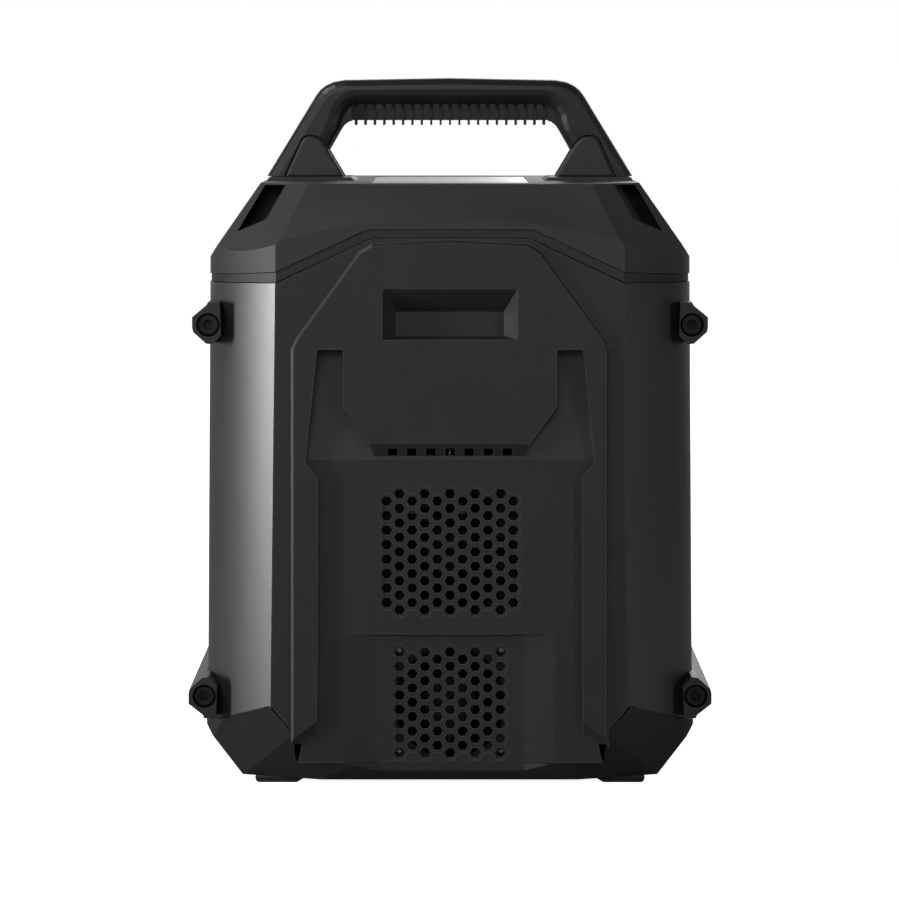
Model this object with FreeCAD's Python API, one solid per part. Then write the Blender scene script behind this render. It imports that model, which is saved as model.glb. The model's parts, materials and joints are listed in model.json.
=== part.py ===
import FreeCAD, Part
import math
import os

os.makedirs("parts", exist_ok=True)

# Sizes in millimetres. X runs across, -Y is the back with the fan grilles, Z is up.
# Heights are measured from a plane just above the floor and lifted by stand_height at the end.
stand_height = 2.2
gap = 0.3
running_gap = 0.05
wall = 3.0
huge = 900.0

# Plan outline of the body
face_y = 132.0
plate_y = 135.0
corner_top_x = 104.7
corner_low_x = 108.9
side_top_x = 147.0
side_low_x = 150.2
corner_pull_y = 100.1
corner_end_y = 75.0
body_low_z = 30.0
body_top_z = 304.4

# Seam between panel, trim ring and cap: (x, z) along one half
ring_top_line = [(0, 337.2), (50, 337), (corner_top_x, 311.6), (160, 307.6)]
ring_low_line = [(0, 332.3), (47, 332.1), (corner_top_x, 305.3), (160, 303.6)]
ring_seam = 0.5
ring_inset = 0.8

# Top cap
deck_z = 364.1
slope_top_y = 118.0
crease_line = [(0, 343.6), (46.0, 341.4), (75.0, 336.8), (102.2, 330.7), (128.0, 323.6)]
side_slope = [(115.3, 364.1), (144.3, 322.3)]
corner_slope = [(90.0, 113.0, 364.1), (102.2, 132.0, 330.7), (134.3, 105.0, 323.4)]
slot_outline = [(112.4, 363.1), (99.4, 363.1), (110.6, 342.7), (129.1, 334.9)]
slot_depth = 11.0
pad_size = (96.0, 176.0)
pad_corner = 8.0
pad_recess = 1.3
pad_thick = 1.1

# Base tray with corner bumpers
tray_bottom_z = 1.2
tray_line = [(0, 14.0), (94.0, 14.0), (95.0, 32.0), (109.7, 49.1), (150.1, 33.4), (160, 33.4)]
bumper_facet = [(109.7, 131.0, 49.1), (95.0, 133.2, 32.0), (126.3, 98.0, 1.7)]
bumper_apron = [(95.0, 133.2, 32.0), (126.3, 98.0, 1.7), (89.0, 111.4, 1.2)]
tray_side_bevel = [(150.4, 30.6), (127.6, 1.2)]
tray_face_y = 133.2
tray_chamfer = [(133.2, 14.0), (115.3, 1.2)]
tray_wall = 3.2
foot_outline = [(94.0, -2.2), (117.4, -2.2), (118.9, -1.2), (119.4, 1.1), (89.4, 1.1), (89.4, 0.6)]
foot_y = (82.0, 106.0)
foot_peg_radius = 3.0
foot_peg_bite = 1.0

# Raised plate on the back and front panels
plate_outline = [(0, 329.5), (46.4, 327.2), (53.5, 322.9), (90.7, 272.0), (93.8, 265.4), (94.7, 20.0)]
plate_step = 1.5
plate_fold = [(81.4, 40.3), (94.8, 30.6)]
plate_fold_foot = [(80.6, 32.0), (94.7, 24.0)]
plate_fold_depth = 3.6
panel_wall = 4.5
panel_side_gap = 0.25

# Finger recess
pull_outer = [(-40.5, 271.4), (40.5, 271.4), (40.5, 301.9), (-40.5, 301.9)]
pull_inner = [(-32.5, 273.0), (32.5, 273.0), (32.5, 287.5), (-32.5, 287.5)]
pull_depth = 12.0

# Docking recess with its tongue
dock_outline = [(79.6, 265.4), (87.0, 197.4), (79.3, 188.4), (80.4, 32.1), (96.5, 23.0), (96.5, -5.0)]
drain_outline = [(95.5, 26.0), (89.8, 26.0), (92.3, 14.3), (95.5, 14.3)]
drain_depth = 12.0
dock_floor = [(14.0, 270.0), (14.0, 262.0), (4.5, 199.0), (4.5, -10.0)]
tongue_outline = [(64.0, 267.0), (64.0, 231.2), (48.0, 208.9), (45.8, 201.0)]
tongue_break_z = 208.9
notch_count = 7
notch_pitch = 11.5
notch_size = (5.7, 5.0)
notch_z = 203.6

# Hexagonal grilles
hex_pitch = 8.8
hex_flat = 5.7
hex_field_depth = 0.7
upper_grille_z = 143.0
upper_grille_rows = [8, 9, 8, 9, 8, 9, 8, 9, 8, 9, 8]
lower_grille_z = 50.5
lower_grille_rows = [8, 7, 8, 7, 8, 7, 8, 7, 8]
low_box_outer_x = 63.7
low_box_inner_x = 45.0
low_box_depth = 4.5
low_box_top_z = 93.0

# Side rails and their screws
upper_rail_center = (146.3, 279.0)
lower_rail_center = (150.0, 52.0)
rail_outline = [(-7.1, 13.6), (0.0, 13.6), (1.0, 11.4), (9.6, 4.6), (9.6, -1.6), (9.0, -4.4),
                (1.2, -11.4), (-2.6, -11.8), (-7.7, -6.6)]
rail_end_y = 112.0
rail_body_gap = 0.35
head_radius = 6.5
head_length = 8.0
head_bore_radius = 7.2
head_sink = 1.5
socket_flat = 6.0
socket_depth = 4.5
shank_radius = 3.5
shank_length = 8.0

# Handle: outer and inner outline of one half
handle_foot_z = 366.6
handle_outer = [(121.6, 355.6), (84.0, 417.0), (81.4, 420.4), (77.8, 423.3), (72.8, 425.5), (66.0, 426.7),
                (0, 427.9)]
handle_inner = [(61.9, 411.7), (61.9, 401.0), (64.0, 400.4), (66.8, 398.3), (69.0, 395.0), (77.2, 380.5),
                (70.2, 370.4), (67.0, 355.6)]
handle_recess = [(58.0, 411.7), (61.6, 410.6), (64.8, 407.8), (67.2, 403.2), (68.6, 398.0), (70.2, 393.6),
                 (80.0, 375.8), (80.0, 340.0)]
horn_outline = [(66.2, 366.0), (78.6, 386.8), (81.6, 390.0), (85.6, 391.6), (89.6, 391.5), (92.4, 389.8),
                (93.6, 387.6), (103.4, 366.0)]
horn_seam = 0.9
handle_half_depth = 20.0
handle_core_depth = 12.0
handle_round = 6.5
handle_round_steps = 4
handle_inner_round = (9.0, 8.0)
horn_bevel = 1.6
plinth_outline = [(58.0, 363.6), (62.0, 366.2), (112.8, 366.2), (114.4, 363.6)]
plinth_half_depth = 34.0
grip_half_length = 61.7
grip_z = (398.5, 411.7)
grip_fin = 3.0
grip_half_depth = 11.8
fin_total = 21
fin_pitch = 5.92
fin_width = 1.3
fin_proud = 0.4
grip_notch = (2.2, 1.4, 3.4)
handle_bolt_radius = 2.4
handle_bolt_spots = [(105.8, 8.0), (105.8, -8.0)]
handle_bolt_reach = 6.4

# Fans behind the grilles
fan_upper_size = 80.0
fan_lower_size = 72.0
fan_depth = 25.0
fan_front_y = -124.4
fan_wall = 2.0
fan_pin_radius = 2.0
blade_count = 7
fan_hub_radius = 15.0
fan_spider_thick = 3.0
fan_spider_half = 2.5
fan_screw_inset = 5.0
fan_screw_head = (3.4, 2.2)
fan_screw_radius = 1.7
fan_screw_front = 8.0
blade_size = (1.4, 17.0)
blade_pitch_angle = 42
blade_tip_gap = 1.5

# Battery
cell_radius = 16.0
cell_length = 70.0
cell_pitch = 33.2
cell_columns = 7
cell_rows = 5
cell_mid_y = -8.0
holder_thick = 4.0
battery_low_z = 9.0
busbar_thick = 0.6

# Inverter on its shelf
shelf_z = 196.0
shelf_thick = 2.0
shelf_half_x = 118.0
shelf_y = (-92.0, 78.0)
standoff_height = 8.0
standoff_radius = 3.2
board_thick = 1.6
heatsink_size = (36.0, 120.0, 46.0)
fin_count = 9
core_size = (52.0, 46.0, 44.0)
capacitor_radius = 12.5
capacitor_height = 42.0

# Front panel
front_wall_y = 128.4
display_size = (104.0, 44.0)
display_z = 285.0
lens_sink = 0.4
display_board_back = 4.0
display_board_rim = (10.0, 6.0)
display_glass_back = 2.3
display_glass_thick = 2.0
display_glass_inset = 6.0
button_xs = [-63.0, -21.0, 21.0, 63.0]
button_z = 241.0
button_radius = 7.5
button_travel = 1.5
outlet_xs = [22.0, 62.0]
outlet_zs = [200.0, 156.0]
outlet_size = (35.0, 35.0)
outlet_depth = 20.0
outlet_sink = 0.8
outlet_corner = 5.0
blade_slot_half = 1.1
blade_slot_spread = 6.4
blade_slot_span = (-1.0, 8.0)
outlet_slot_depth = 14.0
earth_slot_radius = 2.9
earth_slot_drop = 8.0
contact_size = (1.4, 4.0, 7.0)
contact_back = 11.5
contact_rise = 3.5
usb_zs = [212.0, 196.0]
usb_a_x = -28.0
usb_c_x = -28.0
usb_c_zs = [178.0, 164.0]
usb_a_size = (14.5, 7.0)
usb_c_size = (9.6, 3.8)
dc_x = -52.0
dc_zs = [168.0, 148.0]
dc_radius = 5.6
car_center = (-64.0, 202.0)
car_radius = 13.0
car_bore = 10.7
car_depth = 34.0
cover_thick = 3.0
cover_corner = 4.0
cover_tab_half = 6.0
cover_tab_drop = 4.0
ear_inset = 1.0
ear_reach = 6.0
barrel_play = 0.4
car_cover_size = (31.0, 33.0)
inlet_center = (-36.0, 102.0)
inlet_size = (50.0, 34.0)
inlet_depth = 24.0
inlet_cover_size = (56.0, 40.0)
hinge_radius = 3.0
hinge_pin_radius = 1.2
hinge_clearance = 0.4
light_size = (120.0, 16.0)
light_z = 46.0
screw_head_radius = 3.0
base_screw_sink = 2.2
base_screw_spots = [(70.0, 96.0), (70.0, 30.0)]


def vec(x, y, z):
    return FreeCAD.Vector(x, y, z)


def box(x0, x1, y0, y1, z0, z1):
    return Part.makeBox(x1 - x0, y1 - y0, z1 - z0, vec(x0, y0, z0))


def block(center, size):
    halves = [value / 2 for value in size]
    low = [c - h for c, h in zip(center, halves)]
    return Part.makeBox(*size, vec(*low))


def rod_y(radius, x, z, y0, y1):
    return Part.makeCylinder(radius, y1 - y0, vec(x, y0, z), vec(0, 1, 0))


def rod_z(radius, x, y, z0, z1):
    return Part.makeCylinder(radius, z1 - z0, vec(x, y, z0))


def ring_y(outer, inner, x, z, y0, y1):
    return rod_y(outer, x, z, y0, y1).cut(rod_y(inner, x, z, y0, y1))


def closed_wire(points):
    return Part.makePolygon(points + points[:1])


def prism_y(outline, y0, y1):
    face = Part.Face(closed_wire([vec(x, y0, z) for x, z in outline]))
    return face.extrude(vec(0, y1 - y0, 0))


def prism_x(outline, x0, x1):
    face = Part.Face(closed_wire([vec(x0, y, z) for y, z in outline]))
    return face.extrude(vec(x1 - x0, 0, 0))


def both_halves(points):
    """Close a right-hand outline with its mirror image on the left."""
    left = [(-x, z) for x, z in reversed(points) if abs(x) > 0]
    return points + left


def inset_outline(outline, distance):
    """Move every edge of a polygon inward by one distance."""
    count = len(outline)
    area = sum(outline[i][0] * outline[(i + 1) % count][1] - outline[(i + 1) % count][0] * outline[i][1]
               for i in range(count))
    side = 1 if area > 0 else -1
    moved = []
    for i in range(count):
        (ax, az), (bx, bz), (cx, cz) = outline[i - 1], outline[i], outline[(i + 1) % count]
        first = math.hypot(bx - ax, bz - az)
        second = math.hypot(cx - bx, cz - bz)
        n1 = (-(bz - az) / first * side, (bx - ax) / first * side)
        n2 = (-(cz - bz) / second * side, (cx - bx) / second * side)
        scale = distance / (1 + n1[0] * n2[0] + n1[1] * n2[1])
        moved.append((bx + (n1[0] + n2[0]) * scale, bz + (n1[1] + n2[1]) * scale))
    return moved


def loft_y(sections):
    """Join (outline, y) sections with flat faces."""
    wires = [closed_wire([vec(x, y, z) for x, z in outline]) for outline, y in sections]
    return Part.makeLoft(wires, True, True)


def bevelled_prism(outline, half_depth, bevel):
    small = inset_outline(outline, bevel)
    return loft_y([(small, -half_depth), (outline, -half_depth + bevel),
                   (outline, half_depth - bevel), (small, half_depth)])


def rounded_prism(outline, half_depth, radius, steps):
    """A prism whose front and back rims are rounded over in small facets."""
    turns = [math.radians(90 * i / steps) for i in range(steps + 1)]
    flat_half = half_depth - radius
    rims = [(inset_outline(outline, radius * (1 - math.cos(turn))), flat_half + radius * math.sin(turn))
            for turn in turns]
    return loft_y([(rim, -y) for rim, y in reversed(rims)] + rims)


def mirror_x(shape):
    return shape.mirror(vec(0, 0, 0), vec(1, 0, 0))


def mirror_y(shape):
    return shape.mirror(vec(0, 0, 0), vec(0, 1, 0))


def four_corners(shape):
    pair = [shape, mirror_x(shape)]
    return pair + [mirror_y(item) for item in pair]


def group(shapes):
    return Part.makeCompound(shapes)


def fuse_all(shapes):
    joined = shapes[0].multiFuse(shapes[1:]) if len(shapes) > 1 else shapes[0]
    return joined.removeSplitter()


def trim(shape, point, normal, inset=0.0):
    """Remove everything on the side of a plane that the normal points to."""
    normal = vec(*normal)
    normal.normalize()
    origin = vec(*point) - normal * inset
    slab = Part.makeBox(huge, huge, huge, vec(-huge / 2, -huge / 2, 0))
    slab.Placement = FreeCAD.Placement(origin, FreeCAD.Rotation(vec(0, 0, 1), normal))
    return shape.cut(slab)


def plane_through(points):
    """A plane's point and outward normal from three points at positive x, given with y as depth."""
    a, b, c = [vec(x, -y, z) for x, y, z in points]
    normal = (b - a).cross(c - a)
    if normal.x < 0:
        normal = normal * -1
    return a, normal


def trim_corners(shape, points, inset):
    point, normal = plane_through(points)
    for sx in (1, -1):
        for sy in (1, -1):
            shape = trim(shape, (point.x * sx, point.y * sy, point.z),
                         (normal.x * sx, normal.y * sy, normal.z), inset)
    return shape


def export(name, shape):
    shape = shape.copy()
    shape.translate(vec(0, 0, stand_height))
    shape.exportStep(os.path.join("parts", name + ".step"))
    print(name, len(shape.Solids), round(shape.Volume / 1000, 1))


# Body outline

def corner_x(z):
    share = (body_top_z - z) / (body_top_z - body_low_z)
    return corner_top_x + share * (corner_low_x - corner_top_x)


def body_wire(z, inset=0.0, grow=0.0):
    """Plan outline at one height: flat back and front, curved corners, flat sides."""
    share = (body_top_z - z) / (body_top_z - body_low_z)
    side = side_top_x + share * (side_low_x - side_top_x) - inset + grow
    start = corner_x(z) - inset / 2 + grow / 2
    face = face_y - inset + grow
    pull = corner_pull_y - inset / 2 + grow / 2
    edges = []
    corners = []
    for sx, sy in ((1, -1), (1, 1), (-1, 1), (-1, -1)):
        poles = [vec(start * sx, face * sy, z), vec(side * sx, pull * sy, z),
                 vec(side * sx, corner_end_y * sy, z)]
        corners.append(poles if sx * sy < 0 else poles[::-1])
    for i, poles in enumerate(corners):
        curve = Part.BezierCurve()
        curve.setPoles(poles)
        edges.append(curve.toShape())
        edges.append(Part.LineSegment(poles[-1], corners[(i + 1) % len(corners)][0]).toShape())
    return Part.Wire(edges)


def body_solid(z0, z1, inset=0.0, grow=0.0):
    return Part.makeLoft([body_wire(z0, inset, grow), body_wire(z1, inset, grow)], True, True)


def below_line(line, drop=0.0):
    """Everything under a seam line, swept through the whole depth."""
    outline = both_halves([(x, z - drop) for x, z in line] + [(huge / 4, -100)])
    return prism_y(outline, -huge / 4, huge / 4)


# Top cap and trim ring

def front_slope():
    """The space in front of the slope between the straight deck edge and the arched crease."""
    end_x = crease_line[-1][0]
    lead_in = 0.2
    reach = [deck_z + (deck_z - z) * lead_in for x, z in crease_line]
    far_y = slope_top_y - (face_y - slope_top_y) * lead_in
    right = [vec(x, -face_y, z) for x, z in crease_line]
    top_right = [vec(x, -far_y, top) for (x, z), top in zip(crease_line, reach)]
    edges = []
    for line in (right, top_right):
        points = [vec(-p.x, p.y, p.z) for p in reversed(line[1:])] + line
        curve = Part.BSplineCurve()
        curve.interpolate(points)
        edges.append(curve.toShape())
    return Part.makeRuledSurface(edges[0], edges[1]).extrude(vec(0, -end_x / 2, 0))


def cap_block(inset=0.0):
    """The cap as a faceted block with every face moved inward by the inset."""
    shape = body_solid(290.0, 366.0, inset)
    shape = trim(shape, (0, 0, deck_z), (0, 0, 1), inset)
    front = front_slope()
    rise = deck_z - crease_line[0][1]
    run = face_y - slope_top_y
    slope = math.hypot(rise, run)
    front.translate(vec(0, rise / slope * inset, -run / slope * inset))
    shape = shape.cut(group([front, mirror_y(front)]))
    (x0, z0), (x1, z1) = side_slope
    for sx in (1, -1):
        shape = trim(shape, (x0 * sx, 0, z0), ((z0 - z1) * sx, 0, x1 - x0), inset)
    return trim_corners(shape, corner_slope, inset)


def cap_slot(outline, depth):
    """A pocket let into the corner facet to one depth under it."""
    cap = cap_block()
    layer = cap.cut(trim_corners(cap, corner_slope, depth))
    return prism_y(outline, -face_y - wall, -face_y / 2).common(layer).common(box(0, huge, -huge, 0, 0, huge))


def top_cap():
    cap = cap_block()
    shell = cap.cut(cap_block(wall))
    pocket = cap_slot(slot_outline, slot_depth)
    backing = cap_slot(inset_outline(slot_outline, -wall), slot_depth + wall)
    shell = shell.multiFuse(four_corners(backing))
    shell = shell.cut(group(four_corners(pocket)))
    shell = shell.cut(below_line(ring_top_line, -ring_seam / 2))
    plinth = prism_y(plinth_outline, -plinth_half_depth, plinth_half_depth)
    horn = bevelled_prism(horn_outline, handle_half_depth + horn_bevel / 2, horn_bevel)
    core = handle_core_depth + horn_seam
    horn = horn.cut(box(0, huge, -core, core, 0, huge))
    shell = shell.multiFuse([plinth, mirror_x(plinth), horn, mirror_x(horn)])
    shell = shell.cut(pad_solid(pad_recess, gap))
    return shell.cut(handle_bolt_rods(gap, plinth_outline[1][1])).removeSplitter()


def pad_solid(depth, grow=0.0):
    width, length = pad_size
    pad = box(-width / 2 - grow, width / 2 + grow, -length / 2 - grow, length / 2 + grow,
              deck_z - depth, deck_z + 5 * grow)
    upright = [edge for edge in pad.Edges if abs(edge.tangentAt(edge.FirstParameter).z) > 0.9]
    return pad.makeFillet(pad_corner, upright)


def top_pad():
    pad = pad_solid(pad_recess)
    return pad.cut(box(-huge, huge, -huge, huge, deck_z - pad_recess + pad_thick, huge))


def trim_ring():
    band = body_solid(290.0, 345.0, ring_inset).cut(body_solid(290.0, 345.0, ring_inset + wall))
    band = band.common(below_line(ring_top_line, ring_seam / 2))
    return band.cut(below_line(ring_low_line, -ring_seam / 2))


# Side shells

def body_cut_lines(shape):
    shape = shape.common(below_line(ring_low_line, ring_seam / 2))
    return shape.cut(below_line(tray_line, -gap))


def right_side_shell():
    shell = body_solid(body_low_z, body_top_z + 10).cut(body_solid(body_low_z, body_top_z + 10, wall))
    keep = [(corner_x(0), 0), (corner_x(huge / 2), huge / 2), (huge / 4, huge / 2), (huge / 4, 0)]
    shell = shell.common(prism_y(keep, -huge / 4, huge / 4))
    return body_cut_lines(shell)


# Back and front panels

def panel_outline():
    low = tray_line[1][1]
    points = [(x, z - ring_seam / 2) for x, z in ring_low_line[:2]]
    top = (corner_x(ring_low_line[2][1]) - panel_side_gap, ring_low_line[2][1] - ring_seam)
    bumper = (corner_x(tray_line[3][1]) - panel_side_gap, tray_line[3][1] + gap)
    inner = (tray_line[2][0] - gap, tray_line[2][1] + gap)
    return both_halves(points + [top, bumper, inner, (tray_line[1][0] - gap, low + gap)])


def plate(outline):
    whole = both_halves(outline)
    return loft_y([(whole, -plate_y), (inset_outline(whole, -plate_step), -plate_y + plate_step),
                   (inset_outline(whole, -plate_step), -face_y + 1)])


def hexagon(x, z, flat, y0, y1):
    radius = flat / math.sqrt(3)
    points = [(x + radius * math.cos(math.radians(60 * i)), z + radius * math.sin(math.radians(60 * i)))
              for i in range(6)]
    return prism_y(points, y0, y1)


def grille_columns(rows, mid_z):
    """Column centres and hole heights; columns of unequal count interlock as a honeycomb."""
    step = hex_pitch * math.sqrt(3) / 2
    mid = (len(rows) - 1) / 2
    columns = []
    for i, count in enumerate(rows):
        heights = [mid_z + (k - (count - 1) / 2) * hex_pitch for k in range(count)]
        columns.append(((i - mid) * step, heights))
    return columns


def grille_field(rows, mid_z, y0, y1):
    """The sunken honeycomb outline round all the holes."""
    radius = hex_pitch / math.sqrt(3)
    columns = grille_columns(rows, mid_z)
    upper = []
    lower = []
    for x, heights in columns:
        top, bottom = heights[-1] + hex_pitch / 2, heights[0] - hex_pitch / 2
        upper += [(x - radius / 2, top), (x + radius / 2, top)]
        lower += [(x - radius / 2, bottom), (x + radius / 2, bottom)]
    right_x, right_heights = columns[-1]
    edge = []
    for k in range(len(right_heights) - 1, -1, -1):
        edge.append((right_x + radius, right_heights[k]))
        if k:
            edge.append((right_x + radius / 2, right_heights[k] - hex_pitch / 2))
    left = [(-x, z) for x, z in reversed(edge)]
    return prism_y(upper + edge + lower[::-1] + left, y0, y1)


def grille_holes(rows, mid_z, y0, y1):
    return [hexagon(x, z, hex_flat, y0, y1) for x, heights in grille_columns(rows, mid_z) for z in heights]


def dock_cut():
    outer = prism_y(both_halves(dock_outline), -plate_y - 1, -face_y / 2)
    floor = [(-plate_y - 2, dock_floor[0][1])] + [(-plate_y + depth, z) for depth, z in dock_floor]
    floor.append((-plate_y - 2, dock_floor[-1][1]))
    cut = outer.common(prism_x(floor, -huge / 4, huge / 4))
    tongue = prism_y(both_halves(tongue_outline), -plate_y - 1, -face_y / 2)
    side = [(-plate_y - 2, dock_floor[0][1]), (-face_y / 2, dock_floor[0][1]),
            (-face_y / 2, tongue_outline[-1][1]), (-plate_y + dock_floor[-1][0], tongue_outline[-1][1]),
            (-plate_y, tongue_break_z), (-plate_y - 2, tongue_break_z)]
    return cut.cut(tongue.common(prism_x(side, -huge / 4, huge / 4)))


def plate_fold_cut():
    """The slanting end of each border, from the fold line back to its lower edge."""
    sections = []
    for line, y in ((plate_fold, -plate_y - gap), (plate_fold_foot, -plate_y + plate_fold_depth)):
        (x0, z0), (x1, z1) = line
        slope = (z1 - z0) / (x1 - x0)
        left, right = dock_outline[2][0] - gap, dock_outline[-1][0]
        left_z, right_z = z0 + (left - x0) * slope, z0 + (right - x0) * slope
        outline = [(left, left_z), (right, right_z), (right, 0), (left, 0)]
        sections.append((outline, y))
    return loft_y(sections)


def clear_of_base(panel):
    return panel.cut(tray_block(-gap).common(below_line(tray_line, -gap)))


def rear_panel():
    sheet = prism_y(panel_outline(), -face_y, -face_y + panel_wall)
    low = -face_y + panel_wall
    pull_back = loft_y([(inset_outline(pull_outer, -wall), low - 1),
                        (inset_outline(pull_inner, -wall), -plate_y + pull_depth + wall)])
    dock_back = prism_y(inset_outline(both_halves(dock_outline[:4]), -wall), low - 1, -face_y / 2)
    ramp = [(low - 2, dock_floor[0][1] + wall), (-plate_y + dock_floor[0][0] + wall, dock_floor[0][1] + wall),
            (-plate_y + dock_floor[1][0] + wall, dock_floor[1][1]),
            (low, dock_floor[2][1] + 2 * wall), (low - 2, dock_floor[2][1] + 2 * wall)]
    dock_back = dock_back.common(prism_x(ramp, -huge / 4, huge / 4))
    box_back = box(-low_box_outer_x, low_box_outer_x, low - 1, low + wall, tray_line[0][1] + gap,
                   low_box_top_z + wall)
    floor_y = -plate_y + dock_floor[-1][0]
    panel = sheet.multiFuse([plate(plate_outline), pull_back, dock_back, box_back])
    pull = loft_y([(pull_outer, -plate_y - 0.01), (pull_inner, -plate_y + pull_depth)])
    low_box = [(low_box_outer_x, floor_y), (low_box_inner_x, floor_y + low_box_depth),
               (-low_box_inner_x, floor_y + low_box_depth), (-low_box_outer_x, floor_y)]
    low_face = Part.Face(closed_wire([vec(x, y, 0) for x, y in low_box]))
    low_cut = low_face.extrude(vec(0, 0, low_box_top_z))
    panel = panel.cut(group([pull, low_cut])).cut(dock_cut())
    box_y = floor_y + low_box_depth
    cuts = [grille_field(upper_grille_rows, upper_grille_z, floor_y - 1, floor_y + hex_field_depth),
            grille_field(lower_grille_rows, lower_grille_z, box_y - 1, box_y + hex_field_depth)]
    panel = panel.cut(group(cuts))
    holes = grille_holes(upper_grille_rows, upper_grille_z, -plate_y, -face_y / 2)
    holes += grille_holes(lower_grille_rows, lower_grille_z, -plate_y, -face_y / 2)
    wide, tall = notch_size
    for i in range(notch_count):
        x = (i - (notch_count - 1) / 2) * notch_pitch
        low, high = notch_z - tall / 2, notch_z + tall / 2
        holes.append(box(x - wide / 2, x + wide / 2, -plate_y, -face_y / 2, low, high))
    panel = panel.cut(group(holes))
    fold = plate_fold_cut()
    drain = prism_y(drain_outline, -plate_y, -plate_y + drain_depth)
    for item in (fold, mirror_x(fold), drain, mirror_x(drain)):
        panel = panel.cut(item)
    return max(clear_of_base(panel).Solids, key=lambda solid: solid.Volume)


def opening(center, size, grow=0.0):
    """A square hole through the front panel."""
    x, z = center
    wide, tall = size
    return box(x - wide / 2 - grow, x + wide / 2 + grow, front_wall_y - 2 * wall, plate_y + 1,
               z - tall / 2 - grow, z + tall / 2 + grow)


def hinge_line(center, size):
    """Height and depth of a cover's hinge axis, just above the cover."""
    return center[1] + size[1] / 2 + hinge_radius + hinge_clearance, plate_y + hinge_radius


def hinge_ears(center, size):
    z, y = hinge_line(center, size)
    half = size[0] / 2
    ears = []
    for sx in (1, -1):
        x0, x1 = sorted([center[0] + sx * (half - ear_reach), center[0] + sx * (half - ear_inset)])
        ear = Part.makeCylinder(hinge_radius, x1 - x0, vec(x0, y, z), vec(1, 0, 0))
        ears.append(ear.fuse(box(x0, x1, front_wall_y, y, z - hinge_radius, z + hinge_radius)))
    return ears


def hinge_bore(center, size, radius):
    z, y = hinge_line(center, size)
    return Part.makeCylinder(radius, size[0], vec(center[0] - size[0] / 2, y, z), vec(1, 0, 0))


def hinge_pin(center, size):
    z, y = hinge_line(center, size)
    half = size[0] / 2 - ear_inset
    return Part.makeCylinder(hinge_pin_radius, 2 * half, vec(center[0] - half, y, z), vec(1, 0, 0))


def cover(center, size):
    """A flat lid with a barrel between the ears and a finger tab below."""
    z, y = hinge_line(center, size)
    x, mid = center
    half = size[0] / 2
    inner_y = plate_y + gap
    lid = box(x - half, x + half, inner_y, inner_y + cover_thick, mid - size[1] / 2, mid + size[1] / 2)
    upright = [e for e in lid.Edges if abs(e.tangentAt(e.FirstParameter).y) > 0.9 and e.BoundBox.ZMax < mid]
    lid = lid.makeFillet(cover_corner, upright)
    tab_low = mid - size[1] / 2 - cover_tab_drop
    tab = box(x - cover_tab_half, x + cover_tab_half, inner_y, inner_y + cover_thick / 2, tab_low, mid)
    reach = half - ear_reach - barrel_play
    barrel = Part.makeCylinder(hinge_radius, 2 * reach, vec(x - reach, y, z), vec(1, 0, 0))
    neck = box(x - reach, x + reach, plate_y + gap, plate_y + gap + cover_thick, mid, z)
    lid = fuse_all([lid, tab, barrel, neck])
    return lid.cut(hinge_bore(center, size, hinge_pin_radius + running_gap))


def front_panel():
    sheet = prism_y(panel_outline(), front_wall_y - 1, face_y)
    raised = mirror_y(plate(plate_outline))
    ears = hinge_ears(car_center, car_cover_size) + hinge_ears(inlet_center, inlet_cover_size)
    panel = sheet.multiFuse([raised] + ears)
    cuts = [opening((0, display_z), display_size, gap),
            opening(inlet_center, inlet_size, gap), opening((0, light_z), light_size, gap)]
    cuts += [opening((x, z), outlet_size, gap) for x in outlet_xs for z in outlet_zs]
    cuts += [opening((usb_a_x, z), usb_a_size, gap) for z in usb_zs]
    cuts += [opening((usb_c_x, z), usb_c_size, gap) for z in usb_c_zs]
    back = front_wall_y - 2 * wall
    cuts += [rod_y(button_radius + gap, x, button_z, back, plate_y + 1) for x in button_xs]
    cuts += [rod_y(dc_radius + gap, dc_x, z, back, plate_y + 1) for z in dc_zs]
    cuts.append(rod_y(car_radius + gap, car_center[0], car_center[1], back, plate_y + 1))
    cuts.append(hinge_bore(car_center, car_cover_size, hinge_pin_radius + gap))
    cuts.append(hinge_bore(inlet_center, inlet_cover_size, hinge_pin_radius + gap))
    return clear_of_base(panel.cut(group(cuts)))


# Front fittings

def display_lens():
    wide, tall = display_size
    low, high = display_z - tall / 2, display_z + tall / 2
    return box(-wide / 2, wide / 2, front_wall_y - 1, plate_y - lens_sink, low, high)


def display_board():
    wide, tall = display_size
    rim_wide, rim_tall = display_board_rim
    inset = display_glass_inset
    board_y = front_wall_y - display_board_back
    board = block((0, board_y, display_z), (wide + rim_wide, board_thick, tall + rim_tall))
    glass_y = front_wall_y - display_glass_back
    glass = block((0, glass_y, display_z), (wide - inset, display_glass_thick, tall - inset))
    return board.fuse(glass)


def button(x):
    """A cap with a flange behind the panel that stops it coming out."""
    stem_back = front_wall_y - 1 - button_travel - 4.0
    cap = rod_y(button_radius, x, button_z, stem_back, plate_y + button_travel + 0.4)
    rim = [e for e in cap.Edges if e.BoundBox.YMin > plate_y]
    cap = cap.makeFillet(0.8, rim)
    flange = rod_y(button_radius + 1.6, x, button_z, front_wall_y - 3.2, front_wall_y - 1.2)
    return cap.fuse(flange).removeSplitter()


def button_board():
    stem_back = front_wall_y - 1 - button_travel - 4.0
    half = button_xs[-1] + 16
    board_y = stem_back - button_travel - 1.0 - board_thick / 2
    board = block((0, board_y, button_z), (2 * half, board_thick, 26))
    return board


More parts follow.
